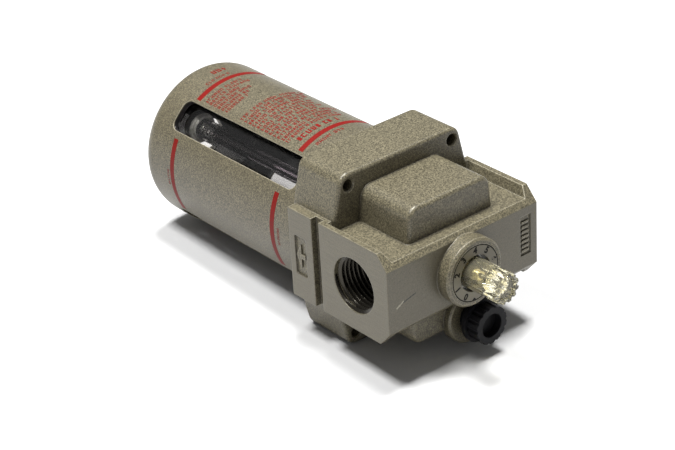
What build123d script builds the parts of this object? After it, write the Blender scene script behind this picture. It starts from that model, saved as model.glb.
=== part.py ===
from build123d import *
import os
from math import cos, radians, sin

# Compressed-air line lubricator: ported head, bayonet bowl guard, clear bowl, drip dome and fill plug.
# Millimetres. The part lies on its side: X runs along the air line (inlet at -X), +Y runs from the head
# towards the end of the bowl, and +Z is up. The line's centre and the bowl's centre cross at the origin.

os.makedirs("parts", exist_ok=True)

# ---- Driving dimensions: head ----
block_half_x = 35.0         # port face to port face is twice this
block_half_z = 17.6
top_face = -17.7            # the flat face that carries the dome
wing_end = 34.2             # far end of the port plates
chamfer_y = 4.9
chamfer_z = 5.5
pocket_floor = 14.1
pocket_half_x = 31.1        # at the floor; the rims lean outwards above it
pocket_lean = 27            # degrees
slot_centre = 19.6          # grooves in the port faces for modular joining clamps
slot_width = 4.2
slot_depth = 2.6
mark_recess = (6.2, 15.5)   # recess for a flow mark on each port plate, along Y and Z
mark_corner = 0.8
mark_y = 28.4
mark_depth = 0.7
plate_recess = (5.0, 15.6)  # recess for a name strip on the top face, along X and Z
plate_centre = (29.4, 1.0)  # X and Z
plate_depth = 0.5

collar_front = 13.5
collar_rear = 36.0
collar_half_x = 27.2        # at the top; the sides spread below
collar_foot_half_x = 31.2
collar_waist_half_x = 33.0
collar_half_z = 34.0
collar_corner = 4.5

boss_half_x = 20.0
boss_top_half_x = 18.4
boss_front = -11.3
boss_top = 27.0
boss_shoulder = 4.6
boss_front_edge = 1.6
collar_edge = 1.3

dial_radius = 12.8
dial_face = -23.2
dial_chamfer = 0.8
plate_radius = 10.6         # the dial plate set into the dome boss
plate_thickness = 0.8
well_radius = 6.75
well_floor = -13.2
snap_groove = (-20.5, -19.3)
snap_groove_radius = 7.25

fill_x = 6.0                # the fill plug stands on the lower boss, beside the dome
fill_z = -23.2
fill_seat_radius = 10.8
fill_seat_face = -14.4
fill_seat_back = -10.5
fill_seat_chamfer = 0.6
fill_duct_radius = 6.0
fill_duct_end = 6.0
fill_bore = 4.0
fill_bore_end = 2.0
fill_counterbore = 5.6
fill_counterbore_depth = 1.5
slant_radius = 3.2
slant_top = -1.0
slant_exit = (4.0, -14.0)   # X and Z where the slanting passage opens under the deck

port_radius = 10.48         # major radius of a G1/2 thread
port_depth = 16.0
line_radius = 8.5
bracket_x = 24.0            # tapped holes for a wall bracket
bracket_z = 29.4
bracket_radius = 2.1
bracket_mouth = 2.6
bracket_depth = 13.0

# ---- Driving dimensions: bowl, guard and their bayonet ----
socket_radius = 31.3
socket_floor = 19.5
lug_groove_radius = 32.7
lug_groove = (23.4, 28.6)
lug_radius = 32.3
lug_span = (24.0, 28.0)
lug_arc = 24                # degrees
lug_entry_arc = 28
spigot_outer = 25.15
spigot_inner = 22.0
spigot_end = 31.0
seal_y = 27.0
seal_minor = 1.05
seal_major = 24.42
seal_groove_half = 1.25

guard_radius = 30.95
guard_inner = 28.5
guard_top = 22.75
guard_end = 131.0
guard_edge = 7.0
guard_floor = 2.6
guard_hole = 7.0
window_ends = (42.6, 115.5)
window_width = 12.6
window_corner = 3.0
window_angles = (45, 135, 225, 315)

bowl_outer = 27.9
bowl_inner = 25.5
bowl_rim = (20.3, 22.7)
bowl_rim_radius = 30.2
bowl_end = 127.6
bowl_corner = 9.0

# ---- Driving dimensions: oil path ----
siphon_x = -12.0            # the siphon stands beside one of the guard's windows
siphon_z = 12.0
siphon_radius = 17.0        # of its centre, from the bowl's centre
cross_y = -14.7             # where its passage turns towards the dome
siphon_outer = 2.5
siphon_bore = 1.5
siphon_top = 14.2
siphon_end = 106.0
strainer_radius = 5.8
strainer_y = (102.6, 118.0)
passage_radius = 1.2
check_x = 9.0               # pressurising check valve, beside the middle of the deck
check_radius = 2.2
check_seat = 13.2
check_body_radius = 4.0
check_body_start = 103.0
check_body_wall = 1.4
ball_chamber = (siphon_end + 2.0, siphon_end + 7.6)
chamber_gap = 0.35
siphon_ball_radius = 1.7
ball_way_in = 1.0
ball_way_out = 1.2
check_ball_radius = 1.6
check_plug_length = 1.6
check_plug_bore = 1.0
press_gap = 0.02            # keeps the walls of pressed pieces just apart

# ---- Driving dimensions: drip dome ----
dome_radius = 5.75
dome_end = -38.6
dome_bore = 4.3
dome_roof = -33.2
dome_foot = -15.4
dome_flange = 6.65
dome_flange_top = -18.6
dome_seal_y = -17.0
dome_lobes = 12
dome_lobe_start = -32.6
dome_lobe_radius = 0.9
dome_groove_depth = 1.25
dome_groove_half = 0.7
dome_seal_minor = 0.62
needle_hole = 0.8
needle_hole_depth = 3.6
snap_ring = (-20.4, -19.4)
snap_ring_radius = 7.15
snap_ring_gap = 40          # degrees
nozzle_bore = 1.0
nozzle_foot_radius = 3.9
nozzle_foot = 1.9
nozzle_radius = 2.2
nozzle_neck = -24.5
nozzle_tip = -26.5
nozzle_tip_radius = 1.7
needle_radius = 0.72
needle_point = -20.0

# ---- Driving dimensions: damper ----
damper_back = -4.0
damper_front = -1.3
damper_bore = 6.9
flap_radius = 6.5
flap_half = 0.4
flap_notch = (-4.6, 2.4)    # clears the ears: below this Y and beyond this Z
hinge_y = -6.7
hinge_pin_radius = 0.6
hinge_pin_half = 3.4
hinge_gap = 0.06
knuckle_radius = 1.0
knuckle_half = 2.2
ear_inner = 2.6
ear_width = 0.8
ear_height = 1.6
ear_tip = 1.3

# ---- Driving dimensions: fill plug ----
plug_shank = 3.9
plug_flange_radius = 8.3
plug_head_radius = 7.2
plug_end = -24.5
plug_flange = (-19.4, -17.9)
plug_neck_radius = 5.8
plug_tip = -2.0
plug_lobes = 14
plug_lobe_radius = 0.8
plug_lobe_circle = 7.55
plug_recess = (4.6, 3.2)    # radius and depth
plug_seal_minor = 0.7

# ---- Driving dimensions: baffle under the deck ----
baffle_radius = 21.6
baffle_y = (22.4, 24.4)
baffle_passage = (4.0, -13.4)
screw_angles = (90, 210, 330)
screw_circle = 18.0
screw_post_radius = 2.8
screw_post_gap = 0.8
screw_radius = 1.23
screw_tap_radius = 1.25
screw_tap_depth = 5.0
screw_hole_radius = 1.4
screw_head_radius = 2.4
screw_head = 1.6
screw_socket = (0.9, 0.8)   # radius and depth
screws = [(screw_circle * cos(radians(angle)), screw_circle * sin(radians(angle))) for angle in screw_angles]


def outline(points, height=0.0):
    """A closed straight-sided face on the plane Z = height, from (x, y) points."""
    with BuildSketch(Plane.XY.offset(height)) as sketch:
        with BuildLine():
            Polyline(*points, close=True)
        make_face()
    return sketch.sketch


def turned(points, x=0.0, z=0.0, mode=Mode.ADD):
    """Turn (radius, y) points about the line through (x, z) that runs along Y."""
    face = outline([(x + radius, y) for radius, y in points], z)
    revolve(face, axis=Axis((x, 0, z), (0, 1, 0)), mode=mode)


def post(radius, y_from, y_to, x=0.0, z=0.0, mode=Mode.ADD):
    """A round post, or a hole with Mode.SUBTRACT, along Y."""
    turned([(0, y_from), (radius, y_from), (radius, y_to), (0, y_to)], x, z, mode)


def across(y):
    """The plane at a height y along the bowl's centre line, with X to the right and Z up."""
    return Plane.XZ.offset(-y)


def arc_block(inner, outer, span, middle_angle, arc, mode=Mode.ADD):
    """A piece of a ring about Y, arc degrees long, centred on middle_angle (from +X towards +Z)."""
    with BuildSketch(across(span[0])) as sector:
        Circle(outer)
        Circle(inner, mode=Mode.SUBTRACT)
        reach = 2 * outer
        ends = [radians(middle_angle - arc / 2), radians(middle_angle + arc / 2)]
        with BuildLine():
            Polyline((0, 0), *[(reach * cos(end), reach * sin(end)) for end in ends], close=True)
        make_face(mode=Mode.INTERSECT)
    extrude(sector.sketch, amount=-(span[1] - span[0]), mode=mode)


def save(piece, label):
    """Label a finished piece and write its file."""
    piece.part.label = label
    export_step(piece.part, f"parts/{label}.step")


def seal_ring(label, major, minor, y, x=0.0, z=0.0):
    """An O-ring about a line along Y."""
    with BuildPart() as seal:
        with BuildSketch(Plane.XY.offset(z)) as section:
            with Locations((x + major, y)):
                Circle(minor)
        revolve(section.sketch, axis=Axis((x, 0, z), (0, 1, 0)))
    save(seal, label)


def rounded_can(radius, y_from, y_to, corner):
    """A solid round can along Y with a rounded far end."""
    with BuildPart() as can:
        post(radius, y_from, y_to)
        end_edge = can.edges().filter_by(GeomType.CIRCLE).sort_by(Axis.Y)[-1]
        fillet(end_edge, corner)
    return can.part


def chamfered_post(radius, chamfer_size, y_from, y_to, x=0.0, z=0.0):
    """A round post along Y with a chamfer round its near end."""
    turned([(0, y_from), (radius - chamfer_size, y_from), (radius, y_from + chamfer_size), (radius, y_to),
            (0, y_to)], x, z)


def passage_boss(side):
    """A block with leaning sides and rounded shoulders that covers a passage, above or below the line."""
    foot = side * (pocket_floor - 1)
    top = side * boss_top
    with BuildPart() as boss:
        with BuildSketch(across(boss_front)) as section:
            with BuildLine():
                Polyline((-boss_half_x, foot), (-boss_top_half_x, top), (boss_top_half_x, top),
                         (boss_half_x, foot), close=True)
            make_face()
            shoulders = [v for v in section.vertices() if abs(v.Y) > boss_top - 1]
            fillet(shoulders, boss_shoulder)
        extrude(amount=-(collar_front + 3 - boss_front))
        front_edges = boss.faces().sort_by(Axis.Y)[0].edges()
        fillet([e for e in front_edges if abs(e.center().Z) > pocket_floor], boss_front_edge)
    return boss.part


def collar_block():
    """The collar round the top of the bowl guard: wide at the waist, narrower above and below."""
    with BuildPart() as collar:
        with BuildSketch(across(collar_front)) as section:
            with BuildLine():
                Polyline(
                    (collar_waist_half_x, 0),
                    (collar_foot_half_x, block_half_z),
                    (collar_half_x, collar_half_z),
                    (-collar_half_x, collar_half_z),
                    (-collar_foot_half_x, block_half_z),
                    (-collar_waist_half_x, 0),
                    (-collar_foot_half_x, -block_half_z),
                    (-collar_half_x, -collar_half_z),
                    (collar_half_x, -collar_half_z),
                    (collar_foot_half_x, -block_half_z),
                    close=True,
                )
            make_face()
            corners = [v for v in section.vertices() if abs(v.Y) > collar_half_z - 1]
            fillet(corners, collar_corner)
        extrude(amount=-(collar_rear - collar_front))
        ends = collar.faces().sort_by(Axis.Y)
        fillet(ends[0].edges() + ends[-1].edges(), collar_edge)
    return collar.part


upper_boss = passage_boss(1)
lower_boss = passage_boss(-1)
collar = collar_block()
bowl_wall = bowl_outer - bowl_inner
bowl_hollow = rounded_can(bowl_inner, bowl_rim[0] - 1, bowl_end - bowl_wall, bowl_corner - bowl_wall)
guard_hollow = rounded_can(guard_inner, guard_top - 1, guard_end - guard_floor, guard_edge - guard_floor)

# ---- Head casting: port block, collar, passage bosses and all the bores ----
with BuildPart() as head_casting:
    flat_half = block_half_z - chamfer_z
    with BuildSketch(Plane.YZ):
        with BuildLine():
            Polyline(
                (top_face, flat_half),
                (top_face + chamfer_y, block_half_z),
                (wing_end, block_half_z),
                (wing_end, -block_half_z),
                (top_face + chamfer_y, -block_half_z),
                (top_face, -flat_half),
                close=True,
            )
        make_face()
    extrude(amount=block_half_x, both=True)

    # Shallow pockets above and below, open towards the dome, leave a thin rim along each port plate.
    for side in (1, -1):
        floor = Plane(origin=(0, top_face, side * pocket_floor), x_dir=(1, 0, 0), z_dir=(0, 0, side))
        with BuildSketch(floor):
            Rectangle(2 * pocket_half_x, 2 * (collar_front - top_face))
        extrude(amount=block_half_z, taper=-pocket_lean, mode=Mode.SUBTRACT)

    add(collar)
    add(upper_boss)
    add(lower_boss)

    # Round dome boss, and the seat of the fill plug with its short duct, on the top face.
    chamfered_post(dial_radius, dial_chamfer, dial_face, -9)
    chamfered_post(fill_seat_radius, fill_seat_chamfer, fill_seat_face, fill_seat_back, fill_x, fill_z)
    post(fill_duct_radius, fill_seat_back - 1, fill_duct_end, fill_x, fill_z)

    # Socket for the guard, with the bayonet's groove and its four ways in.
    post(socket_radius, socket_floor, collar_rear + 1, mode=Mode.SUBTRACT)
    turned([(socket_radius - 1, lug_groove[0]), (lug_groove_radius, lug_groove[0]),
            (lug_groove_radius, lug_groove[1]), (socket_radius - 1, lug_groove[1])], mode=Mode.SUBTRACT)
    for angle in window_angles:
        arc_block(socket_radius - 1, lug_groove_radius, (lug_groove[1] - 1, collar_rear + 1),
                  angle, lug_entry_arc, Mode.SUBTRACT)

    # Spigot that enters the bowl, with the groove for the bowl's seal.
    turned([(spigot_inner, socket_floor - 1), (spigot_outer, socket_floor - 1),
            (spigot_outer, spigot_end), (spigot_inner, spigot_end)])
    groove_floor = seal_major - seal_minor - 0.05
    turned([(groove_floor, seal_y - seal_groove_half), (spigot_outer + 1, seal_y - seal_groove_half),
            (spigot_outer + 1, seal_y + seal_groove_half), (groove_floor, seal_y + seal_groove_half)],
           mode=Mode.SUBTRACT)

    # Screw posts for the baffle, and their tapped holes.
    for screw_x, screw_z in screws:
        post(screw_post_radius, socket_floor - 1, baffle_y[0] - screw_post_gap, screw_x, screw_z)
        post(screw_tap_radius, socket_floor - screw_tap_depth, baffle_y[0], screw_x, screw_z, Mode.SUBTRACT)

    # Air line: a threaded port at each end, with a smaller bore between them.
    with BuildSketch(Plane.YZ):
        Circle(line_radius)
    extrude(amount=block_half_x + 1, both=True, mode=Mode.SUBTRACT)
    for side in (1, -1):
        with BuildSketch(Plane.YZ.offset(side * block_half_x)):
            Circle(port_radius)
        extrude(amount=-side * port_depth, mode=Mode.SUBTRACT)

    # Dome well, its snap ring's groove and the recess for the dial plate.
    post(well_radius, dial_face - 1, well_floor, mode=Mode.SUBTRACT)
    turned([(well_radius - 1, snap_groove[0]), (snap_groove_radius, snap_groove[0]),
            (snap_groove_radius, snap_groove[1]), (well_radius - 1, snap_groove[1])], mode=Mode.SUBTRACT)
    post(plate_radius + 0.1, dial_face - 1, dial_face + plate_thickness, mode=Mode.SUBTRACT)

    # Drip hole from the well into the line, and the oil passage from the siphon round to the well.
    post(passage_radius, well_floor - 1, -line_radius + 1, mode=Mode.SUBTRACT)
    post(siphon_outer + 0.05, siphon_top, socket_floor + 1, siphon_x, siphon_z, Mode.SUBTRACT)
    post(passage_radius, cross_y - 1, siphon_top + 1, siphon_x, siphon_z, Mode.SUBTRACT)
    cross_drilling = Plane(origin=(siphon_x, cross_y, siphon_z), z_dir=(-siphon_x, 0, -siphon_z))
    with BuildSketch(cross_drilling):
        Circle(passage_radius)
    extrude(amount=siphon_radius - 5, mode=Mode.SUBTRACT)

    # Filling passage: straight under the plug, then slanting in to open inside the spigot.
    post(fill_counterbore, fill_seat_face - 1, fill_seat_face + fill_counterbore_depth, fill_x, fill_z,
         Mode.SUBTRACT)
    post(fill_bore, fill_seat_face, fill_bore_end, fill_x, fill_z, Mode.SUBTRACT)
    slant_start = Vector(fill_x, slant_top, fill_z)
    slant_end = Vector(slant_exit[0], socket_floor + 2, slant_exit[1])
    with BuildSketch(Plane(origin=slant_start, z_dir=slant_end - slant_start)):
        Circle(slant_radius)
    extrude(amount=(slant_end - slant_start).length, mode=Mode.SUBTRACT)

    # Pressurising check valve: a small hole from the line, then a chamber open to the bowl.
    post(passage_radius, line_radius - 6, check_seat + 1, check_x, 0, Mode.SUBTRACT)
    post(check_radius, check_seat, socket_floor + 1, check_x, 0, Mode.SUBTRACT)

    # Grooves for the modular clamps, and a recess for a flow mark, in both port faces.
    for side in (1, -1):
        with BuildSketch(Plane.YZ.offset(side * block_half_x)):
            with Locations((slot_centre, 0)):
                Rectangle(slot_width, 2 * block_half_z + 2)
        extrude(amount=-side * slot_depth, mode=Mode.SUBTRACT)
        with BuildSketch(Plane.YZ.offset(side * block_half_x)):
            with Locations((mark_y, 0)):
                RectangleRounded(*mark_recess, mark_corner)
        extrude(amount=-side * mark_depth, mode=Mode.SUBTRACT)
    with BuildSketch(across(top_face)):
        with Locations(plate_centre):
            Rectangle(*plate_recess)
    extrude(amount=-plate_depth, mode=Mode.SUBTRACT)

    # Tapped holes with a chamfered mouth for a bracket, two above and two below.
    for side in (1, -1):
        for x in (-bracket_x, bracket_x):
            turned([(0, collar_front - 1), (bracket_mouth + 1, collar_front - 1),
                    (0, collar_front + bracket_mouth)], x, side * bracket_z, Mode.SUBTRACT)
            post(bracket_radius, collar_front - 1, collar_front + bracket_depth, x, side * bracket_z,
                 Mode.SUBTRACT)
save(head_casting, "head_casting")

# ---- Bowl guard: a round can with four sight windows and bayonet lugs ----
with BuildPart() as bowl_guard:
    post(guard_radius, guard_top, guard_end)
    guard_end_edge = bowl_guard.edges().filter_by(GeomType.CIRCLE).sort_by(Axis.Y)[-1]
    fillet(guard_end_edge, guard_edge)
    add(guard_hollow, mode=Mode.SUBTRACT)
    post(guard_hole, guard_end - guard_floor - 1, guard_end + 1, mode=Mode.SUBTRACT)
    for angle in window_angles:
        outward = (cos(radians(angle)), 0, sin(radians(angle)))
        middle = sum(window_ends) / 2
        window_plane = Plane(origin=(0, middle, 0), x_dir=(0, 1, 0), z_dir=outward)
        with BuildSketch(window_plane):
            RectangleRounded(window_ends[1] - window_ends[0], window_width, window_corner)
        extrude(amount=guard_radius + 1, mode=Mode.SUBTRACT)
    for angle in (0, 90, 180, 270):
        arc_block(guard_radius - 1, lug_radius, lug_span, angle, lug_arc)
save(bowl_guard, "bowl_guard")

# ---- Clear bowl: a flanged cup that hangs inside the guard ----
with BuildPart() as bowl:
    turned([(0, bowl_rim[0]), (bowl_rim_radius, bowl_rim[0]), (bowl_rim_radius, bowl_rim[1]),
            (bowl_outer, bowl_rim[1]), (bowl_outer, bowl_end), (0, bowl_end)])
    bowl_end_edge = bowl.edges().filter_by(GeomType.CIRCLE).sort_by(Axis.Y)[-1]
    fillet(bowl_end_edge, bowl_corner)
    add(bowl_hollow, mode=Mode.SUBTRACT)
save(bowl, "bowl")
seal_ring("bowl_seal", seal_major, seal_minor, seal_y)

# ---- Oil pick-up: siphon tube, check body and its ball, sintered strainer ----
with BuildPart() as siphon_tube:
    turned([(siphon_bore, siphon_top + 0.1), (siphon_outer, siphon_top + 0.1),
            (siphon_outer, siphon_end), (siphon_bore, siphon_end)], siphon_x, siphon_z)
save(siphon_tube, "siphon_tube")

with BuildPart() as siphon_check:
    post(check_body_radius, check_body_start, ball_chamber[1] + check_body_wall, siphon_x, siphon_z)
    post(siphon_outer + press_gap, check_body_start - 1, siphon_end, siphon_x, siphon_z, Mode.SUBTRACT)
    post(ball_way_in, siphon_end - 1, ball_chamber[0] + 1, siphon_x, siphon_z, Mode.SUBTRACT)
    post(siphon_ball_radius + chamber_gap, *ball_chamber, siphon_x, siphon_z, Mode.SUBTRACT)
    post(ball_way_out, ball_chamber[1] - 1, ball_chamber[1] + 2, siphon_x, siphon_z, Mode.SUBTRACT)
save(siphon_check, "siphon_check")

with BuildPart() as siphon_ball:
    with Locations((siphon_x, ball_chamber[1] - siphon_ball_radius - 0.05, siphon_z)):
        Sphere(siphon_ball_radius)
save(siphon_ball, "siphon_ball")

with BuildPart() as strainer:
    sleeve = check_body_radius + press_gap
    turned([(sleeve, strainer_y[0]), (strainer_radius, strainer_y[0]), (strainer_radius, strainer_y[1]),
            (0, strainer_y[1]), (0, strainer_y[1] - 2), (sleeve, strainer_y[1] - 2)], siphon_x, siphon_z)
save(strainer, "strainer")

# ---- Pressurising check valve in the deck: ball, spring and drilled plug ----
with BuildPart() as check_ball:
    with Locations((check_x, check_seat + check_ball_radius + press_gap, 0)):
        Sphere(check_ball_radius)
save(check_ball, "check_ball")

with BuildPart() as check_plug:
    turned([(check_plug_bore, socket_floor - check_plug_length),
            (check_radius - press_gap, socket_floor - check_plug_length),
            (check_radius - press_gap, socket_floor), (check_plug_bore, socket_floor)], check_x)
save(check_plug, "check_plug")

# ---- Drip dome: clear cap with a lobed end, its flange turning in the well ----
with BuildPart() as sight_dome:
    turned([(dome_bore, dome_foot), (dome_flange, dome_foot), (dome_flange, dome_flange_top),
            (dome_radius, dome_flange_top), (dome_radius, dome_end), (0, dome_end),
            (0, dome_roof), (dome_bore, dome_roof)])
    lobe_circle = dome_radius + dome_lobe_radius - 0.55
    for step in range(dome_lobes):
        angle = radians(360 / dome_lobes * step)
        post(dome_lobe_radius, dome_end - 1, dome_lobe_start, lobe_circle * cos(angle),
             lobe_circle * sin(angle), Mode.SUBTRACT)
    groove_floor = dome_flange - dome_groove_depth
    groove_ends = (dome_seal_y - dome_groove_half, dome_seal_y + dome_groove_half)
    turned([(groove_floor, groove_ends[0]), (dome_flange + 1, groove_ends[0]),
            (dome_flange + 1, groove_ends[1]), (groove_floor, groove_ends[1])], mode=Mode.SUBTRACT)
    post(needle_hole, dome_roof - needle_hole_depth, dome_roof + 1, mode=Mode.SUBTRACT)
save(sight_dome, "sight_dome")
seal_ring("dome_seal", dome_flange - dome_seal_minor + 0.02, dome_seal_minor, dome_seal_y)

with BuildPart() as dome_snap_ring:
    snap_inner = dome_radius + 0.3
    turned([(snap_inner, snap_ring[0]), (snap_ring_radius, snap_ring[0]),
            (snap_ring_radius, snap_ring[1]), (snap_inner, snap_ring[1])])
    arc_block(dome_radius, snap_ring_radius + 1, (snap_ring[0] - 1, snap_ring[1] + 1), 90, snap_ring_gap,
              Mode.SUBTRACT)
save(dome_snap_ring, "dome_snap_ring")

with BuildPart() as dial_plate:
    plate_back = dial_face + plate_thickness - press_gap
    plate_bore = well_radius + 0.15
    turned([(plate_bore, dial_face), (plate_radius, dial_face), (plate_radius, plate_back),
            (plate_bore, plate_back)])
save(dial_plate, "dial_plate")

with BuildPart() as drip_nozzle:
    foot = well_floor - press_gap
    turned([(nozzle_bore, foot), (nozzle_foot_radius, foot), (nozzle_foot_radius, well_floor - nozzle_foot),
            (nozzle_radius, well_floor - nozzle_foot - 0.5), (nozzle_radius, nozzle_neck),
            (nozzle_tip_radius, nozzle_tip), (nozzle_bore, nozzle_tip)])
save(drip_nozzle, "drip_nozzle")

with BuildPart() as metering_needle:
    needle_end = dome_roof - 2.2
    turned([(0, needle_point), (needle_radius, needle_point - 1), (needle_radius, needle_end),
            (0, needle_end)])
save(metering_needle, "metering_needle")

# ---- Damper: a carrier ring in the line with a flap that swings towards the outlet ----
with BuildPart() as damper_ring:
    with BuildSketch(Plane.YZ.offset(damper_back)):
        Circle(line_radius - press_gap)
        Circle(damper_bore, mode=Mode.SUBTRACT)
    extrude(amount=damper_front - damper_back)
    for side in (1, -1):
        ear_root = damper_front - 0.5
        with BuildSketch(Plane.XY.offset(side * ear_inner)):
            with Locations(((ear_root + ear_tip) / 2, hinge_y - 0.1)):
                Rectangle(ear_tip - ear_root, ear_height)
        extrude(amount=side * ear_width)
    with BuildSketch(Plane.XY):
        with Locations((0, hinge_y)):
            Circle(hinge_pin_radius)
    extrude(amount=5, both=True, mode=Mode.SUBTRACT)
save(damper_ring, "damper_ring")

with BuildPart() as damper_flap:
    with BuildSketch(Plane.YZ.offset(-flap_half)):
        Circle(flap_radius)
        for side in (1, -1):
            with Locations((flap_notch[0], side * flap_notch[1])):
                Rectangle(flap_radius, flap_radius, align=(Align.MAX, Align.MIN if side > 0 else Align.MAX),
                          mode=Mode.SUBTRACT)
    extrude(amount=2 * flap_half)
    with BuildSketch(Plane.XY):
        with Locations((0, hinge_y)):
            Circle(knuckle_radius)
    extrude(amount=knuckle_half, both=True)
    with BuildSketch(Plane.XY):
        with Locations((0, hinge_y)):
            Circle(hinge_pin_radius + hinge_gap)
    extrude(amount=7, both=True, mode=Mode.SUBTRACT)
save(damper_flap, "damper_flap")

with BuildPart() as damper_pin:
    with BuildSketch(Plane.XY):
        with Locations((0, hinge_y)):
            Circle(hinge_pin_radius)
    extrude(amount=hinge_pin_half, both=True)
save(damper_pin, "damper_pin")

# ---- Fill plug: lobed head and flange on a shank, with its seal ----
with BuildPart() as fill_plug:
    with BuildSketch(across(plug_end)):
        with Locations((fill_x, fill_z)):
            Circle(plug_head_radius)
            with PolarLocations(plug_lobe_circle, plug_lobes):
                Circle(plug_lobe_radius, mode=Mode.SUBTRACT)
    extrude(amount=-(plug_flange[0] - plug_end))
    post(plug_flange_radius, *plug_flange, fill_x, fill_z)
    post(plug_neck_radius, plug_flange[1], fill_seat_face - 0.05, fill_x, fill_z)
    post(plug_shank, fill_seat_face - 0.1, plug_tip, fill_x, fill_z)
    post(plug_recess[0], plug_end - 1, plug_end + plug_recess[1], fill_x, fill_z, Mode.SUBTRACT)
save(fill_plug, "fill_plug")
plug_seal_major = plug_shank + plug_seal_minor + 0.15
seal_ring("fill_plug_seal", plug_seal_major, plug_seal_minor, fill_seat_face + 0.75, fill_x, fill_z)

# ---- Baffle under the deck, and its screws ----
with BuildPart() as baffle_plate:
    post(baffle_radius, *baffle_y)
    post(siphon_outer + 0.4, baffle_y[0] - 1, baffle_y[1] + 1, siphon_x, siphon_z, Mode.SUBTRACT)
    post(slant_radius + 1, baffle_y[0] - 1, baffle_y[1] + 1, *baffle_passage, Mode.SUBTRACT)
    for screw_x, screw_z in screws:
        post(screw_hole_radius, baffle_y[0] - 1, baffle_y[1] + 1, screw_x, screw_z, Mode.SUBTRACT)
save(baffle_plate, "baffle_plate")

with BuildPart() as baffle_screws:
    head_top = baffle_y[1] + screw_head
    for screw_x, screw_z in screws:
        post(screw_radius, socket_floor - screw_tap_depth + 1, baffle_y[1] + 0.5, screw_x, screw_z)
        post(screw_head_radius, baffle_y[1], head_top, screw_x, screw_z)
        post(screw_socket[0], head_top - screw_socket[1], head_top + 1, screw_x, screw_z, Mode.SUBTRACT)
save(baffle_screws, "baffle_screws")
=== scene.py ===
import random
from math import cos, pi, radians, sin

import bmesh
import bpy
from mathutils import Matrix, Vector


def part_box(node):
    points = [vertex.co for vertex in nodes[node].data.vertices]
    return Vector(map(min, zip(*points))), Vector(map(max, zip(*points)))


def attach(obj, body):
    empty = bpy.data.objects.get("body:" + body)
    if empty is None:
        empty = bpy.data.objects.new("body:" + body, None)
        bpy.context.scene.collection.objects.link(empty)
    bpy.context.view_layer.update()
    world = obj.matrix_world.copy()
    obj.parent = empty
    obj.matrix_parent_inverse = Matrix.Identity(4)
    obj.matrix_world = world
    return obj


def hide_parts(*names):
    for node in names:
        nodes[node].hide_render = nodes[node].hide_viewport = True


# Looks of an air-line lubricator. Sizes are in millimetres, in the CAD's frame, and MM turns them into metres
# where a mesh, light or camera is made. X runs along the air line, +Y to the end of the bowl, +Z up.

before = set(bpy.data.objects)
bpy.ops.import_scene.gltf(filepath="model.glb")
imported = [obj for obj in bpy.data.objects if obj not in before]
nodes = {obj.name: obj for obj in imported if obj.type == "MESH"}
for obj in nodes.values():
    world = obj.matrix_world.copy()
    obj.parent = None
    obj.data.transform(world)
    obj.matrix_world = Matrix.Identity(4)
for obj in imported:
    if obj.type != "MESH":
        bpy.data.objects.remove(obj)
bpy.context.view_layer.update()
scene = bpy.context.scene
MM = 0.001


def edge_of(name, axis, end):
    """A CAD node's lowest (end 0) or highest (end 1) coordinate along an axis, in millimetres."""
    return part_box(name)[end][axis] / MM


# ---- Sizes read from the frame ----
half_length = edge_of("head_casting", 0, 1)
collar_rear = edge_of("head_casting", 1, 1)
dial_face = edge_of("dial_plate", 1, 0)
dial_radius = edge_of("dial_plate", 0, 1)
guard_end = edge_of("bowl_guard", 1, 1)
dome_end = edge_of("sight_dome", 1, 0)
dome_foot = edge_of("sight_dome", 1, 1)
dome_flange = edge_of("sight_dome", 0, 1)
strainer_far = edge_of("strainer", 1, 1)
strainer_radius = (edge_of("strainer", 0, 1) - edge_of("strainer", 0, 0)) / 2
siphon_x = (edge_of("strainer", 0, 1) + edge_of("strainer", 0, 0)) / 2
siphon_z = (edge_of("strainer", 2, 1) + edge_of("strainer", 2, 0)) / 2

# ---- Sizes of the looks ----
guard_radius = 30.95
top_face = -17.7
port_radius = 10.48
thread_pitch = 1.814
thread_depth = 1.1
face_spans = ((59.5, 120.5), (152.0, 210.0), (239.5, 300.5), (-28.0, 30.0))     # degrees
head_band = (48.7, 51.1)
end_band = (109.4, 111.8)
ink_thickness = 0.03
rim_y = 113.4                           # the strainer's rim, round the foot of the siphon
light_target = (0, 40, 0)


# ---- Colours, as linear red, green and blue ----
head_champagne = (0.088, 0.077, 0.048)
guard_champagne = (0.084, 0.073, 0.046)
# worn metal on the cast paint's edges, also standing for a painted highlight there
worn_metal_and_highlight = (0.42, 0.385, 0.285)
# painted shade for corners and crevices
corner_shade = (0.014, 0.012, 0.009)
guard_shadow = (0.018, 0.016, 0.016)


# ---- Shader helpers ----
def new_material(name):
    """A new material with its node tree and its main shader."""
    material = bpy.data.materials.new(name)
    material.use_nodes = True
    return material, material.node_tree, material.node_tree.nodes["Principled BSDF"]


def add_node(tree, kind, inputs=None, **settings):
    """A shader node with its settings, and its inputs given as values or linked from sockets."""
    made = tree.nodes.new(kind)
    for key, value in settings.items():
        setattr(made, key, value)
    for key, value in (inputs or {}).items():
        if isinstance(value, bpy.types.NodeSocket):
            tree.links.new(value, made.inputs[key])
        else:
            made.inputs[key].default_value = value
    return made


def calc(tree, operation, first, second=0.0):
    """One step of arithmetic on shader values."""
    return add_node(tree, "ShaderNodeMath", {0: first, 1: second}, operation=operation).outputs[0]


def ramp(tree, value, low, high, bottom=0.0, top=1.0):
    """A value spread from low..high to bottom..top, and held at the ends."""
    return add_node(tree, "ShaderNodeMapRange", {"Value": value, "From Min": low, "From Max": high,
                                                 "To Min": bottom, "To Max": top}).outputs[0]


def mix_colour(tree, share, first, second):
    """The first colour at share 0 and the second at share 1. Each may be a colour or a socket."""
    made = add_node(tree, "ShaderNodeMix", data_type="RGBA")
    for socket, value in ((made.inputs[0], share), (made.inputs[6], first), (made.inputs[7], second)):
        if isinstance(value, bpy.types.NodeSocket):
            tree.links.new(value, socket)
        else:
            socket.default_value = value if socket == made.inputs[0] else (*value, 1)
    return made.outputs[2]


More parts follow.
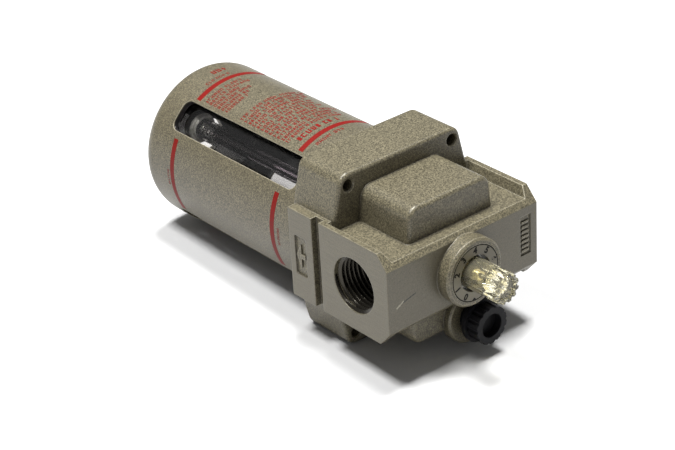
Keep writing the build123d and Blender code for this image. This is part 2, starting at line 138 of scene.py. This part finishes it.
def place(tree):
    """The point being shaded, in the piece's own coordinates, in metres."""
    return add_node(tree, "ShaderNodeTexCoord").outputs["Object"]


def place_parts(tree):
    """The same point as separate x, y and z."""
    return add_node(tree, "ShaderNodeSeparateXYZ", {0: place(tree)}).outputs


def noise(tree, grain, detail=3.0, roughness=0.55, stretch=None):
    """Noise whose features are about grain millimetres, stretched along the axes if asked."""
    where = place(tree)
    if stretch:
        where = add_node(tree, "ShaderNodeMapping", {"Vector": where, "Scale": stretch}).outputs[0]
    return add_node(tree, "ShaderNodeTexNoise", {"Vector": where, "Scale": 1 / (grain * MM), "Detail": detail,
                                                 "Roughness": roughness}).outputs["Fac"]


def bump(tree, height, depth, strength, normal=None):
    """A normal roughened by a height, depth millimetres deep."""
    inputs = {"Height": height, "Distance": depth * MM, "Strength": strength}
    if normal is not None:
        inputs["Normal"] = normal
    return add_node(tree, "ShaderNodeBump", inputs).outputs[0]


def edge_share(tree, radius, low, high):
    """1 along edges, 0 on flat and gently curved faces, with the rounded normal."""
    rounded = add_node(tree, "ShaderNodeBevel", {"Radius": radius * MM}, samples=8).outputs[0]
    plain = add_node(tree, "ShaderNodeNewGeometry").outputs["Normal"]
    alike = add_node(tree, "ShaderNodeVectorMath", {0: rounded, 1: plain}, operation="DOT_PRODUCT")
    return ramp(tree, alike.outputs["Value"], high, low), rounded


def openness(tree, distance):
    """1 in the open, less in corners and crevices."""
    return add_node(tree, "ShaderNodeAmbientOcclusion", {"Distance": distance * MM}, samples=8).outputs["AO"]


def tone(colour, factor):
    """A colour made darker or lighter."""
    return tuple(channel * factor for channel in colour)


# ---- Materials ----
def cast_paint(name, colour, edge_radius, grain, grain_depth):
    """Satin champagne paint over a cast surface: speckled grain, soft mottling, bright edges that are partly worn
    metal and partly a painted highlight, and painted shade in the corners.
    """
    material, tree, shader = new_material(name)
    fine = noise(tree, grain, 3.0, 0.6)
    flake = noise(tree, 0.48, 2.0, 0.6)
    mottle = noise(tree, 9.0, 3.0)
    bright_edge, rounded = edge_share(tree, edge_radius, 0.86, 0.985)
    open_share = openness(tree, 2.5)
    base = mix_colour(tree, ramp(tree, fine, 0.40, 0.60), tone(colour, 0.50), tone(colour, 1.50))
    base = mix_colour(tree, ramp(tree, flake, 0.54, 0.64, 0, 0.75), base, tone(colour, 2.3))
    base = mix_colour(tree, ramp(tree, flake, 0.46, 0.36, 0, 0.7), base, tone(colour, 0.30))
    base = mix_colour(tree, ramp(tree, mottle, 0.3, 0.7, 0, 0.3), base, tone(colour, 0.80))
    # Painted shade: darker in corners and crevices, going by the ambient occlusion.
    base = mix_colour(tree, ramp(tree, open_share, 0.25, 0.9, 0.7, 0), base, corner_shade)
    patchy = noise(tree, 0.9, 3.0)
    # Bright edges: partly worn metal, partly a painted highlight; kept off the inside corners.
    wear_and_highlight = calc(tree, "MULTIPLY", bright_edge, ramp(tree, patchy, 0.32, 0.62, 0.35, 1.0))
    wear_and_highlight = calc(tree, "MULTIPLY", wear_and_highlight, ramp(tree, open_share, 0.55, 0.8))
    base = mix_colour(tree, calc(tree, "MULTIPLY", wear_and_highlight, 0.8), base, worn_metal_and_highlight)
    tree.links.new(base, shader.inputs["Base Color"])
    shader.inputs["Metallic"].default_value = 0.12
    tree.links.new(ramp(tree, fine, 0.3, 0.7, 0.34, 0.48), shader.inputs["Roughness"])
    tree.links.new(bump(tree, fine, grain_depth, 0.5, rounded), shader.inputs["Normal"])
    return material


def scratch(tree, spots, start, end, width, ragged):
    """1 along a ragged stroke from one (x, z) to another, on a face that looks along Y."""
    run = (end[0] - start[0], end[1] - start[1])
    length = (run[0] ** 2 + run[1] ** 2) ** 0.5
    along_x, along_z = run[0] / length, run[1] / length
    x = calc(tree, "SUBTRACT", spots[0], start[0] * MM)
    z = calc(tree, "SUBTRACT", spots[2], start[1] * MM)
    along = calc(tree, "ADD", calc(tree, "MULTIPLY", x, along_x), calc(tree, "MULTIPLY", z, along_z))
    beside = calc(tree, "SUBTRACT", calc(tree, "MULTIPLY", z, along_x), calc(tree, "MULTIPLY", x, along_z))
    reach = calc(tree, "MULTIPLY", ragged, width * 1.2 * MM)
    in_width = calc(tree, "LESS_THAN", calc(tree, "ABSOLUTE", beside), reach)
    in_length = calc(tree, "LESS_THAN", calc(tree, "ABSOLUTE", calc(tree, "SUBTRACT", along, length / 2 * MM)),
                     length / 2 * MM)
    return calc(tree, "MULTIPLY", in_width, in_length)


def machined_paint():
    """The head's paint: cast grain, a finely turned look on the port faces and the dome's face, two scratches."""
    material = cast_paint("head_paint", head_champagne, 0.6, 0.58, 0.13)
    tree = material.node_tree
    shader = tree.nodes["Principled BSDF"]
    spots = place_parts(tree)
    on_port_face = calc(tree, "GREATER_THAN", calc(tree, "ABSOLUTE", spots[0]), (half_length - 0.1) * MM)
    on_dome_face = add_node(tree, "ShaderNodeMath", {0: spots[1], 1: top_face * MM, 2: 0.02 * MM},
                            operation="COMPARE").outputs[0]
    flat = calc(tree, "MAXIMUM", on_port_face, on_dome_face)
    specks = noise(tree, 0.5, 2.0, 0.7)
    streak = noise(tree, 0.5, 3.0, 0.5, (1.0, 0.06, 1.0))
    turned = mix_colour(tree, ramp(tree, streak, 0.35, 0.65), (0.080, 0.071, 0.048), (0.104, 0.092, 0.063))
    turned = mix_colour(tree, ramp(tree, specks, 0.60, 0.70, 0, 0.6), turned, (0.02, 0.018, 0.014))
    turned = mix_colour(tree, ramp(tree, specks, 0.36, 0.28, 0, 0.4), turned, (0.20, 0.18, 0.13))
    cast = shader.inputs["Base Color"].links[0].from_socket
    base = mix_colour(tree, calc(tree, "MULTIPLY", flat, 0.8), cast, turned)
    on_front = calc(tree, "MULTIPLY", on_dome_face, calc(tree, "LESS_THAN", spots[0], -20 * MM))
    ragged = noise(tree, 0.8, 2.0)
    dark = scratch(tree, spots, (-28.3, -2.0), (-22.6, -0.5), 0.42, ragged)
    pale = scratch(tree, spots, (-31.4, -3.2), (-28.0, -1.4), 0.55, ragged)
    base = mix_colour(tree, calc(tree, "MULTIPLY", on_front, pale), base, (0.26, 0.24, 0.18))
    base = mix_colour(tree, calc(tree, "MULTIPLY", on_front, dark), base, (0.012, 0.011, 0.009))
    tree.links.new(base, shader.inputs["Base Color"])
    return material


def guard_paint():
    """The guard's paint outside, and painted shade over the inside: the bore and the walls of the windows."""
    material = cast_paint("guard_paint", guard_champagne, 0.5, 0.52, 0.07)
    tree = material.node_tree
    shader = tree.nodes["Principled BSDF"]
    spots = place_parts(tree)
    flat_place = add_node(tree, "ShaderNodeCombineXYZ", {0: spots[0], 2: spots[2]}).outputs[0]
    radius = add_node(tree, "ShaderNodeVectorMath", {0: flat_place}, operation="LENGTH").outputs["Value"]

    def within(radii, from_end):
        """1 inside a radius and short of a distance from the guard's end, each fading between two values."""
        return calc(tree, "MULTIPLY", ramp(tree, radius, radii[0] * MM, radii[1] * MM),
                    ramp(tree, spots[1], (guard_end - from_end[0]) * MM, (guard_end - from_end[1]) * MM))

    # Painted shade: the bore and the walls of the windows are darkened where the guard shades them.
    in_wall = within((30.5, 30.2), (8.5, 9.5))
    in_bore = within((28.7, 28.55), (2.4, 2.6))
    inside = calc(tree, "MAXIMUM", in_wall, in_bore)
    painted = shader.inputs["Base Color"].links[0].from_socket
    tree.links.new(mix_colour(tree, inside, painted, guard_shadow), shader.inputs["Base Color"])
    return material


def plain_paint(name, colour, roughness, metallic, grain=0.4, depth=0.02, spread=0.12, gloss=0.5):
    """A moulded or turned finish with a faint grain, a little tone and soft edges."""
    material, tree, shader = new_material(name)
    fine = noise(tree, grain, 3.0)
    broad = noise(tree, 6.0, 2.0)
    base = mix_colour(tree, ramp(tree, fine, 0.3, 0.7), tone(colour, 1 - spread), tone(colour, 1 + spread))
    base = mix_colour(tree, ramp(tree, broad, 0.35, 0.65, 0, 0.25), base, tone(colour, 0.8))
    bright_edge, rounded = edge_share(tree, 0.2, 0.80, 0.97)
    base = mix_colour(tree, calc(tree, "MULTIPLY", bright_edge, 0.3), base, tuple(min(1, 1.5 * c + 0.01) for c in colour))
    tree.links.new(base, shader.inputs["Base Color"])
    shader.inputs["Metallic"].default_value = metallic
    shader.inputs["Specular IOR Level"].default_value = gloss
    tree.links.new(ramp(tree, fine, 0.3, 0.7, roughness - 0.05, roughness + 0.05), shader.inputs["Roughness"])
    tree.links.new(bump(tree, fine, depth, 0.5, rounded), shader.inputs["Normal"])
    return material


def clear_plastic(name, colour, roughness, grain=3.0, depth=0.01, ior=1.5, scuffed=0.1, clarity=1.0):
    """Clear moulded plastic, faintly wavy, with fine scuffs."""
    material, tree, shader = new_material(name)
    wavy = noise(tree, grain, 2.0)
    scuffs = noise(tree, 0.8, 3.0, 0.6)
    base = mix_colour(tree, ramp(tree, wavy, 0.3, 0.7), tone(colour, 0.96), colour)
    tree.links.new(base, shader.inputs["Base Color"])
    shader.inputs["Transmission Weight"].default_value = clarity
    shader.inputs["IOR"].default_value = ior
    tree.links.new(ramp(tree, scuffs, 0.55, 0.8, roughness, roughness + scuffed), shader.inputs["Roughness"])
    tree.links.new(bump(tree, wavy, depth, 0.2), shader.inputs["Normal"])
    return material


def strainer_finish():
    """A dark oily strainer with a bright, glossy rim round the foot of the siphon."""
    material, tree, shader = new_material("strainer_grain")
    grain = noise(tree, 0.5, 3.0)
    along = place_parts(tree)[1]
    rim = calc(tree, "MULTIPLY", ramp(tree, along, (rim_y - 1.3) * MM, (rim_y - 1.1) * MM),
               ramp(tree, along, (rim_y + 1.6) * MM, (rim_y + 1.4) * MM))
    dark = mix_colour(tree, ramp(tree, grain, 0.3, 0.7), (0.020, 0.019, 0.017), (0.050, 0.046, 0.038))
    pale = mix_colour(tree, ramp(tree, grain, 0.3, 0.7), (0.62, 0.61, 0.55), (0.80, 0.79, 0.73))
    tree.links.new(mix_colour(tree, rim, dark, pale), shader.inputs["Base Color"])
    tree.links.new(ramp(tree, rim, 0, 1, 0.45, 0.12), shader.inputs["Roughness"])
    shader.inputs["Metallic"].default_value = 0.5
    tree.links.new(bump(tree, grain, 0.03, 0.4), shader.inputs["Normal"])
    return material


def print_ink():
    """Red screen print, a little thin in places."""
    material, tree, shader = new_material("red_print")
    thin = noise(tree, 0.5, 3.0)
    base = mix_colour(tree, ramp(tree, thin, 0.35, 0.65), (0.105, 0.002, 0.001), (0.150, 0.004, 0.002))
    tree.links.new(base, shader.inputs["Base Color"])
    tree.links.new(ramp(tree, thin, 0.3, 0.7, 0.45, 0.6), shader.inputs["Roughness"])
    shader.inputs["Specular IOR Level"].default_value = 0.15
    tree.links.new(bump(tree, thin, 0.01, 0.3), shader.inputs["Normal"])
    return material


head_paint = machined_paint()
shell_paint = guard_paint()
dial_paint = plain_paint("dial_paint", (0.110, 0.098, 0.066), 0.45, 0.15, 0.35, 0.02)
rubber = plain_paint("seal_rubber", (0.02, 0.02, 0.021), 0.6, 0.0)
black_plastic = plain_paint("black_moulding", (0.005, 0.005, 0.006), 0.52, 0.0, 0.5, 0.03, gloss=0.12)
white_plastic = plain_paint("white_moulding", (0.62, 0.61, 0.56), 0.45, 0.0)
brass = plain_paint("turned_brass", (0.58, 0.53, 0.38), 0.3, 0.9, 0.3, 0.01)
steel = plain_paint("turned_steel", (0.55, 0.55, 0.54), 0.25, 1.0, 0.3, 0.01)
# Painted shade: the cut thread is darkened to stand for the shade deep inside the ports.
shaded_thread_metal = plain_paint("cut_thread_shaded", (0.040, 0.036, 0.028), 0.28, 0.8, 0.3, 0.01, 0.2)
strainer_metal = strainer_finish()
dark_ink = plain_paint("dial_ink", (0.008, 0.007, 0.006), 0.6, 0.0, gloss=0.1)
red_ink = print_ink()
bowl_plastic = clear_plastic("bowl_plastic", (0.80, 0.79, 0.78), 0.0, scuffed=0.03)
tube_plastic = clear_plastic("tube_plastic", (0.62, 0.56, 0.60), 0.05)
check_plastic = clear_plastic("check_plastic", (0.80, 0.78, 0.76), 0.02, clarity=0.96)
dome_plastic = clear_plastic("dome_plastic", (0.97, 0.92, 0.70), 0.03, grain=4.0, depth=0.005, ior=1.46,
                             scuffed=0.02, clarity=0.955)

finish_of = {
    "head_casting": head_paint, "bowl_guard": shell_paint, "bowl": bowl_plastic, "bowl_seal": rubber,
    "siphon_tube": tube_plastic, "siphon_check": check_plastic, "siphon_ball": steel,
    "strainer": strainer_metal, "check_ball": steel, "check_plug": brass, "sight_dome": dome_plastic,
    "dome_seal": rubber, "dome_snap_ring": steel, "dial_plate": dial_paint, "drip_nozzle": brass,
    "metering_needle": steel,
    "damper_ring": white_plastic, "damper_flap": rubber, "damper_pin": steel, "fill_plug": black_plastic,
    "fill_plug_seal": rubber, "baffle_plate": white_plastic, "baffle_screws": steel,
}
for name, finish in finish_of.items():
    for material_slot in nodes[name].material_slots:
        material_slot.material = finish


# ---- Mesh helpers ----
def mesh_piece(name, points, faces, finish, body, stands_for=(), sharp=30):
    """A new piece from points in millimetres. It rides on a body and may stand for CAD nodes."""
    mesh = bpy.data.meshes.new(name)
    mesh.from_pydata([tuple(c * MM for c in p) for p in points], [], faces)
    work = bmesh.new()
    work.from_mesh(mesh)
    bmesh.ops.remove_doubles(work, verts=work.verts, dist=1e-7)
    bmesh.ops.recalc_face_normals(work, faces=work.faces)
    work.to_mesh(mesh)
    work.free()
    mesh.shade_smooth()
    mesh.set_sharp_from_angle(angle=radians(sharp))
    mesh.materials.append(finish)
    piece = bpy.data.objects.new(name, mesh)
    scene.collection.objects.link(piece)
    if stands_for:
        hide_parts(*stands_for)
    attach(piece, body)
    return piece


def lathe(outline, segments, centre=(0, 0), shape=None):
    """Turn a closed outline of (radius, y) about a line along Y. shape may change a radius by its angle."""
    points, faces = [], []
    for radius, y in outline:
        for step in range(segments):
            angle = 2 * pi * step / segments
            r = shape(radius, y, angle) if shape else radius
            points.append((centre[0] + r * cos(angle), y, centre[1] + r * sin(angle)))
    rings = len(outline)
    for ring in range(rings):
        after = (ring + 1) % rings
        for step in range(segments):
            beside = (step + 1) % segments
            faces.append((ring * segments + step, ring * segments + beside,
                          after * segments + beside, after * segments + step))
    return points, faces


def arc_strip(points, faces, radius, thickness, y_span, angle_span, steps):
    """A thin curved plate on a cylinder about the bowl's centre, added to points and faces."""
    start = len(points)
    for step in range(steps + 1):
        angle = radians(angle_span[0] + (angle_span[1] - angle_span[0]) * step / steps)
        for y in y_span:
            for r in (radius - 0.02, radius + thickness):
                points.append((r * cos(angle), y, r * sin(angle)))
    for step in range(steps):
        a = start + 4 * step
        b = a + 4
        faces.extend([(a, a + 1, b + 1, b), (a + 2, b + 2, b + 3, a + 3), (a + 1, a + 3, b + 3, b + 1),
                      (a, b, b + 2, a + 2)])
    last = start + 4 * steps
    faces.append((start, start + 2, start + 3, start + 1))
    faces.append((last, last + 1, last + 3, last + 2))


# ---- Print on the guard: bands, and rows of generic marks in place of text ----
def print_bands():
    """A band near each end of the guard's faces."""
    points, faces = [], []
    for span in face_spans:
        for band in (head_band, end_band):
            arc_strip(points, faces, guard_radius, ink_thickness, band, span, 32)
    mesh_piece("print_bands", points, faces, red_ink, "bowl_assembly")


def mark_row(points, faces, draw, y, height, start, end, stroke):
    """A row of small generic marks from one angle to another, in word-like groups. They spell nothing."""
    per_mm = 180 / (pi * guard_radius)
    angle = start
    left_in_word = draw.randint(3, 8)
    while angle - 1.2 * per_mm * height > end:
        width = height * draw.choice((0.5, 0.62, 0.7)) * per_mm
        thin = stroke * per_mm
        uprights = draw.choice(((0.0,), (0.0, 1.0), (0.5,), (0.0, 1.0)))
        for share in uprights:
            at = angle - share * (width - thin)
            arc_strip(points, faces, guard_radius, ink_thickness, (y, y + height), (at, at - thin), 1)
        for share in draw.sample((0.0, 0.5, 1.0), draw.randint(1, 2)):
            low = y + share * (height - stroke)
            arc_strip(points, faces, guard_radius, 0.025, (low, low + stroke), (angle, angle - width), 1)
        angle -= width + 0.28 * height * per_mm
        left_in_word -= 1
        if left_in_word == 0:
            angle -= 0.55 * height * per_mm
            left_in_word = draw.randint(2, 8)


def print_marks():
    """Rows of marks under a heading and three lines outside the bands on the upper face, two on the next face."""
    draw = random.Random(7)
    points, faces = [], []
    row_pitch, row_height, row_start, row_stroke = 2.4, 1.65, 119.5, 0.3
    mark_row(points, faces, draw, 53.4, 2.5, 114, 74, 0.6)
    for rows, first_y, ends in ((12, 57.5, (60, 72)), (6, 93.3, (80, 98))):
        for row in range(rows):
            y = first_y + row * row_pitch
            mark_row(points, faces, draw, y, row_height, row_start, draw.uniform(*ends), row_stroke)
    mark_row(points, faces, draw, 45.3, 1.7, 111, 84, 0.3)
    mark_row(points, faces, draw, 113.4, 1.5, 107, 84, 0.28)
    mark_row(points, faces, draw, 117.6, 2.6, 95, 80, 0.55)
    for y in (45.8, 112.6):
        mark_row(points, faces, draw, y, 1.2, 188, 172, 0.18)
    mesh_piece("print_marks", points, faces, red_ink, "bowl_assembly")


# ---- Threads cut in the ports ----
def port_thread(name, side):
    """A helical ridge inside a port, fading out at both ends. side is -1 at the inlet and 1 at the outlet."""
    points, faces = [], []
    per_turn, length, setback, fade_steps = 72, 14.2, 0.9, 20
    steps = int(per_turn * length / thread_pitch)
    half = 0.46 * thread_pitch
    foot = port_radius + 0.02
    for step in range(steps + 1):
        angle = 2 * pi * step / per_turn
        fade = min(1.0, step / fade_steps, (steps - step) / fade_steps)
        x = half_length - setback - step / per_turn * thread_pitch
        crest = port_radius - thread_depth * fade - 0.01
        for shift, radius in ((-half, foot), (-0.12 * half, crest), (0.12 * half, crest), (half, foot)):
            points.append((side * (x + shift), radius * cos(angle), side * radius * sin(angle)))
    for step in range(steps):
        a = 4 * step
        for corner in range(4):
            beside = (corner + 1) % 4
            faces.append((a + corner, a + beside, a + 4 + beside, a + 4 + corner))
    faces.append((0, 1, 2, 3))
    faces.append(tuple(4 * steps + corner for corner in (3, 2, 1, 0)))
    mesh_piece(name, points, faces, shaded_thread_metal, "head", sharp=40)


# ---- Clear drip dome with its ribbed end ----
def drip_dome():
    """The clear dome: a flange, a plain barrel and a fluted end, hollow up to its roof."""
    ribs, flute_depth = 12, 0.85
    flange_top, flute_start = -18.6, -32.5
    radius, bore, roof = 5.75, 4.3, -33.2

    def fluted(r, y, angle):
        if r < radius - 2.4:
            return r
        share = min(1.0, max(0.0, (flute_start - y) / 0.3))
        valley = max(0.0, cos(ribs * angle) + 0.35) / 1.35
        return r - flute_depth * share * valley ** 0.6 * r / radius

    outline = [(bore, dome_foot), (dome_flange, dome_foot), (dome_flange, flange_top), (radius, flange_top)]
    outline += [(radius, flute_start + 0.1), (radius, flute_start - 0.3), (radius, dome_end + 0.45),
                (radius - 0.15, dome_end + 0.12), (radius - 0.5, dome_end), (radius - 1.5, dome_end)]
    outline += [(radius - 1.8, dome_end + 0.6), (0.02, dome_end + 0.6)]
    outline += [(0.02, roof - 0.6), (bore - 1.6, roof - 0.45), (bore - 0.5, roof + 0.2), (bore, roof + 1.2)]
    points, faces = lathe(outline, 192, shape=fluted)
    mesh_piece("clear_dome", points, faces, dome_plastic, "dome", ("sight_dome",), sharp=35)


# ---- Dial: engraved ring, pointer and numbers ----
def dial_ring():
    """A dark line round the dial's edge."""
    inner, outer = dial_radius - 0.3, dial_radius + 0.12
    below, above = dial_face + 0.15, dial_face - 0.02
    points, faces = lathe([(inner, below), (outer, below), (outer, above), (inner, above)], 128)
    mesh_piece("dial_ring", points, faces, dark_ink, "head")


def dial_number(digit, angle, radius):
    """A number on the dial, its foot towards the dome and its head outwards."""
    curve = bpy.data.curves.new(f"number_{digit}", "FONT")
    curve.body = str(digit)
    curve.size = 3.3 * MM
    curve.extrude = 0.03 * MM
    curve.offset = 0.15 * MM
    curve.align_x = "CENTER"
    curve.align_y = "CENTER"
    letter = bpy.data.objects.new(f"number_{digit}", curve)
    scene.collection.objects.link(letter)
    out = Vector((cos(radians(angle)), 0, sin(radians(angle))))
    face = Vector((0, -1, 0))
    right = out.cross(face)
    turn = Matrix((right, out, face)).transposed().to_4x4()
    letter.matrix_world = Matrix.Translation(out * radius * MM + Vector((0, (dial_face - 0.01) * MM, 0))) @ turn
    bpy.context.view_layer.update()
    mesh = bpy.data.meshes.new_from_object(letter.evaluated_get(bpy.context.evaluated_depsgraph_get()))
    mesh.transform(letter.matrix_world)
    bpy.data.objects.remove(letter)
    mesh.materials.clear()
    mesh.materials.append(dark_ink)
    piece = bpy.data.objects.new(f"dial_number_{digit}", mesh)
    scene.collection.objects.link(piece)
    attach(piece, "head")


def dial():
    """The ring, the numbers 0 to 6 and the pointer before the 0."""
    first_angle, angle_step, number_radius = -122, 37.2, 8.75
    dial_ring()
    for digit in range(7):
        dial_number(digit, first_angle - angle_step * digit, number_radius)
    tip, right, left = (-0.9, -9.3), (0.1, -10.4), (-2.1, -10.4)
    points = [(x, y, z) for y in (dial_face - 0.03, dial_face + 0.1) for x, z in (tip, right, left)]
    faces = [(0, 1, 2), (3, 5, 4), (0, 3, 4, 1), (1, 4, 5, 2), (2, 5, 3, 0)]
    mesh_piece("dial_pointer", points, faces, dark_ink, "head")


# ---- Strainer at the foot of the siphon: a sleeve, a rolled rim and a ribbed cup ----
def strainer_cup():
    """The cup that shows in place of the CAD strainer, with the same outer radius and far end."""
    ribs, rib_depth = 28, 0.28
    bore, sleeve, edge = 4.05, 4.5, strainer_radius

    def ribbed(r, y, angle):
        in_band = rim_y + 2.2 < y < strainer_far - 1.2
        return r - rib_depth * (0.5 + 0.5 * cos(ribs * angle)) if in_band and r > 5 else r

    outline = [(bore, rim_y - 0.8), (bore + 0.2, rim_y - 1.0), (sleeve, rim_y - 0.9),
               (sleeve + 0.2, rim_y - 0.3), (sleeve + 0.5, rim_y - 0.1),
               (edge - 0.7, rim_y - 0.2), (edge - 0.3, rim_y), (edge, rim_y + 0.5), (edge - 0.1, rim_y + 1.0),
               (edge - 0.4, rim_y + 1.5)]
    outline += [(edge - 0.4, y) for y in (rim_y + 2.0, rim_y + 2.5, strainer_far - 1.6, strainer_far - 1.1)]
    outline += [(edge - 0.1, strainer_far - 0.8), (edge - 0.1, strainer_far - 0.3), (edge - 0.6, strainer_far),
                (edge - 1.5, strainer_far), (edge - 2.0, strainer_far - 0.6), (0.02, strainer_far - 0.6),
                (0.02, strainer_far - 2), (bore, strainer_far - 2)]
    points, faces = lathe(outline, 168, (siphon_x, siphon_z), ribbed)
    mesh_piece("strainer_cup", points, faces, strainer_metal, "head", ("strainer",), sharp=35)


# ---- Raised marks in the head's recesses ----
def block(points, faces, corner, size):
    """A plain raised bar, from its low corner and its size, added to points and faces."""
    start = len(points)
    low, high = corner, tuple(c + s for c, s in zip(corner, size))
    points.extend([(x, y, z) for x in (low[0], high[0]) for y in (low[1], high[1]) for z in (low[2], high[2])])
    faces.extend([tuple(start + i for i in face) for face in
                  ((0, 1, 3, 2), (4, 6, 7, 5), (0, 4, 5, 1), (2, 3, 7, 6), (0, 2, 6, 4), (1, 5, 7, 3))])


def recess_marks():
    """Plain bars where the top face has a strip, and an arrow by each port."""
    points, faces = [], []
    bars, first_z, bar_pitch = 7, -5.6, 1.9
    floor_y = top_face + 0.5
    for step in range(bars):
        block(points, faces, (27.6, floor_y - 0.42, first_z + step * bar_pitch), (3.4, 0.5, 0.9))
    mesh_piece("name_strip_bars", points, faces, head_paint, "head")
    for side in (1, -1):
        face_x = side * (half_length - 0.7)
        points = []
        for x in (face_x - side * 0.1, face_x + side * 0.55):
            points += [(x, 26.2, 0.9), (x, 26.2, -0.9), (x, 28.4, -0.9), (x, 28.4, -4.6), (x, 30.9, 0.0),
                       (x, 28.4, 4.6), (x, 28.4, 0.9)]
        faces = [tuple(range(7)), tuple(range(13, 6, -1))]
        faces += [(i, (i + 1) % 7, 7 + (i + 1) % 7, 7 + i) for i in range(7)]
        name = "outlet_mark" if side > 0 else "inlet_mark"
        mesh_piece(name, points, faces, head_paint, "head")


# ---- Floor, light and camera ----
def stage_floor():
    """A pale floor that leans a little, so that it meets the collar's lower edge and the guard's far end."""
    near = Vector((0, collar_rear, edge_of("head_casting", 2, 0)))
    end_rounding = 7
    far = Vector((0, guard_end - end_rounding, -guard_radius))
    along = (far - near).normalized()
    across = Vector((1, 0, 0))
    reach = 3000
    mesh = bpy.data.meshes.new("floor")
    corners = [near + along * a * reach + across * b * reach for a, b in ((-1, -1), (-1, 1), (1, 1), (1, -1))]
    mesh.from_pydata([tuple(c * MM for c in corner) for corner in corners], [], [(0, 1, 2, 3)])
    material, tree, shader = new_material("floor_paper")
    soft = noise(tree, 40.0, 2.0)
    tree.links.new(mix_colour(tree, ramp(tree, soft, 0.3, 0.7), (0.51, 0.51, 0.51), (0.53, 0.53, 0.53)),
                   shader.inputs["Base Color"])
    shader.inputs["Roughness"].default_value = 0.9
    shader.inputs["Specular IOR Level"].default_value = 0.1
    mesh.materials.append(material)
    floor = bpy.data.objects.new("floor", mesh)
    scene.collection.objects.link(floor)


def aim(place_mm, target_mm):
    """A transform at a place, looking at a target."""
    direction = Vector(target_mm) - Vector(place_mm)
    turn = direction.to_track_quat("-Z", "Y").to_matrix().to_4x4()
    return Matrix.Translation(Vector(place_mm) * MM) @ turn


def hang_light(light, place_mm):
    """Put a light at a place, aimed at the part."""
    holder = bpy.data.objects.new(light.name, light)
    holder.matrix_world = aim(place_mm, light_target)
    scene.collection.objects.link(holder)


def studio():
    """A dim white surround, a soft box up on the left and a broad light from overhead."""
    world = bpy.data.worlds.new("studio")
    world.use_nodes = True
    background = world.node_tree.nodes["Background"].inputs
    background["Color"].default_value = (1, 1, 1, 1)
    background["Strength"].default_value = 0.26
    scene.world = world

    left_box = bpy.data.lights.new("left_box", "AREA")
    left_box.shape = "RECTANGLE"
    left_box.size, left_box.size_y = 220 * MM, 200 * MM
    left_box.energy = 11.5
    hang_light(left_box, (-300, 50, 850))

    overhead = bpy.data.lights.new("overhead", "SUN")
    overhead.energy = 5.4
    overhead.angle = radians(15)
    hang_light(overhead, (110, 70, 850))
    scene.view_settings.view_transform = "Standard"


def camera():
    """The viewing angle, as turns about Z, X and the line of sight, and the place it looks from."""
    azimuth, elevation, roll = radians(-38.4434), radians(28.9423), radians(-3.43595)
    stand_mm = (-404.953, -459.165, 350.061)
    back = Vector((sin(azimuth) * cos(elevation), -cos(azimuth) * cos(elevation), sin(elevation)))
    level = Vector((0, 0, 1)).cross(back).normalized()
    upward = back.cross(level)
    right = cos(roll) * level + sin(roll) * upward
    up = -sin(roll) * level + cos(roll) * upward
    lens = bpy.data.cameras.new("camera")
    lens.lens = 107.48
    lens.sensor_width = 36
    lens.clip_start = 0.01
    holder = bpy.data.objects.new("camera", lens)
    turn = Matrix((right, up, back)).transposed().to_4x4()
    holder.matrix_world = Matrix.Translation(Vector(stand_mm) * MM) @ turn
    scene.collection.objects.link(holder)
    scene.camera = holder


print_bands()
print_marks()
port_thread("inlet_thread", -1)
port_thread("outlet_thread", 1)
drip_dome()
dial()
strainer_cup()
recess_marks()
stage_floor()
studio()
camera()
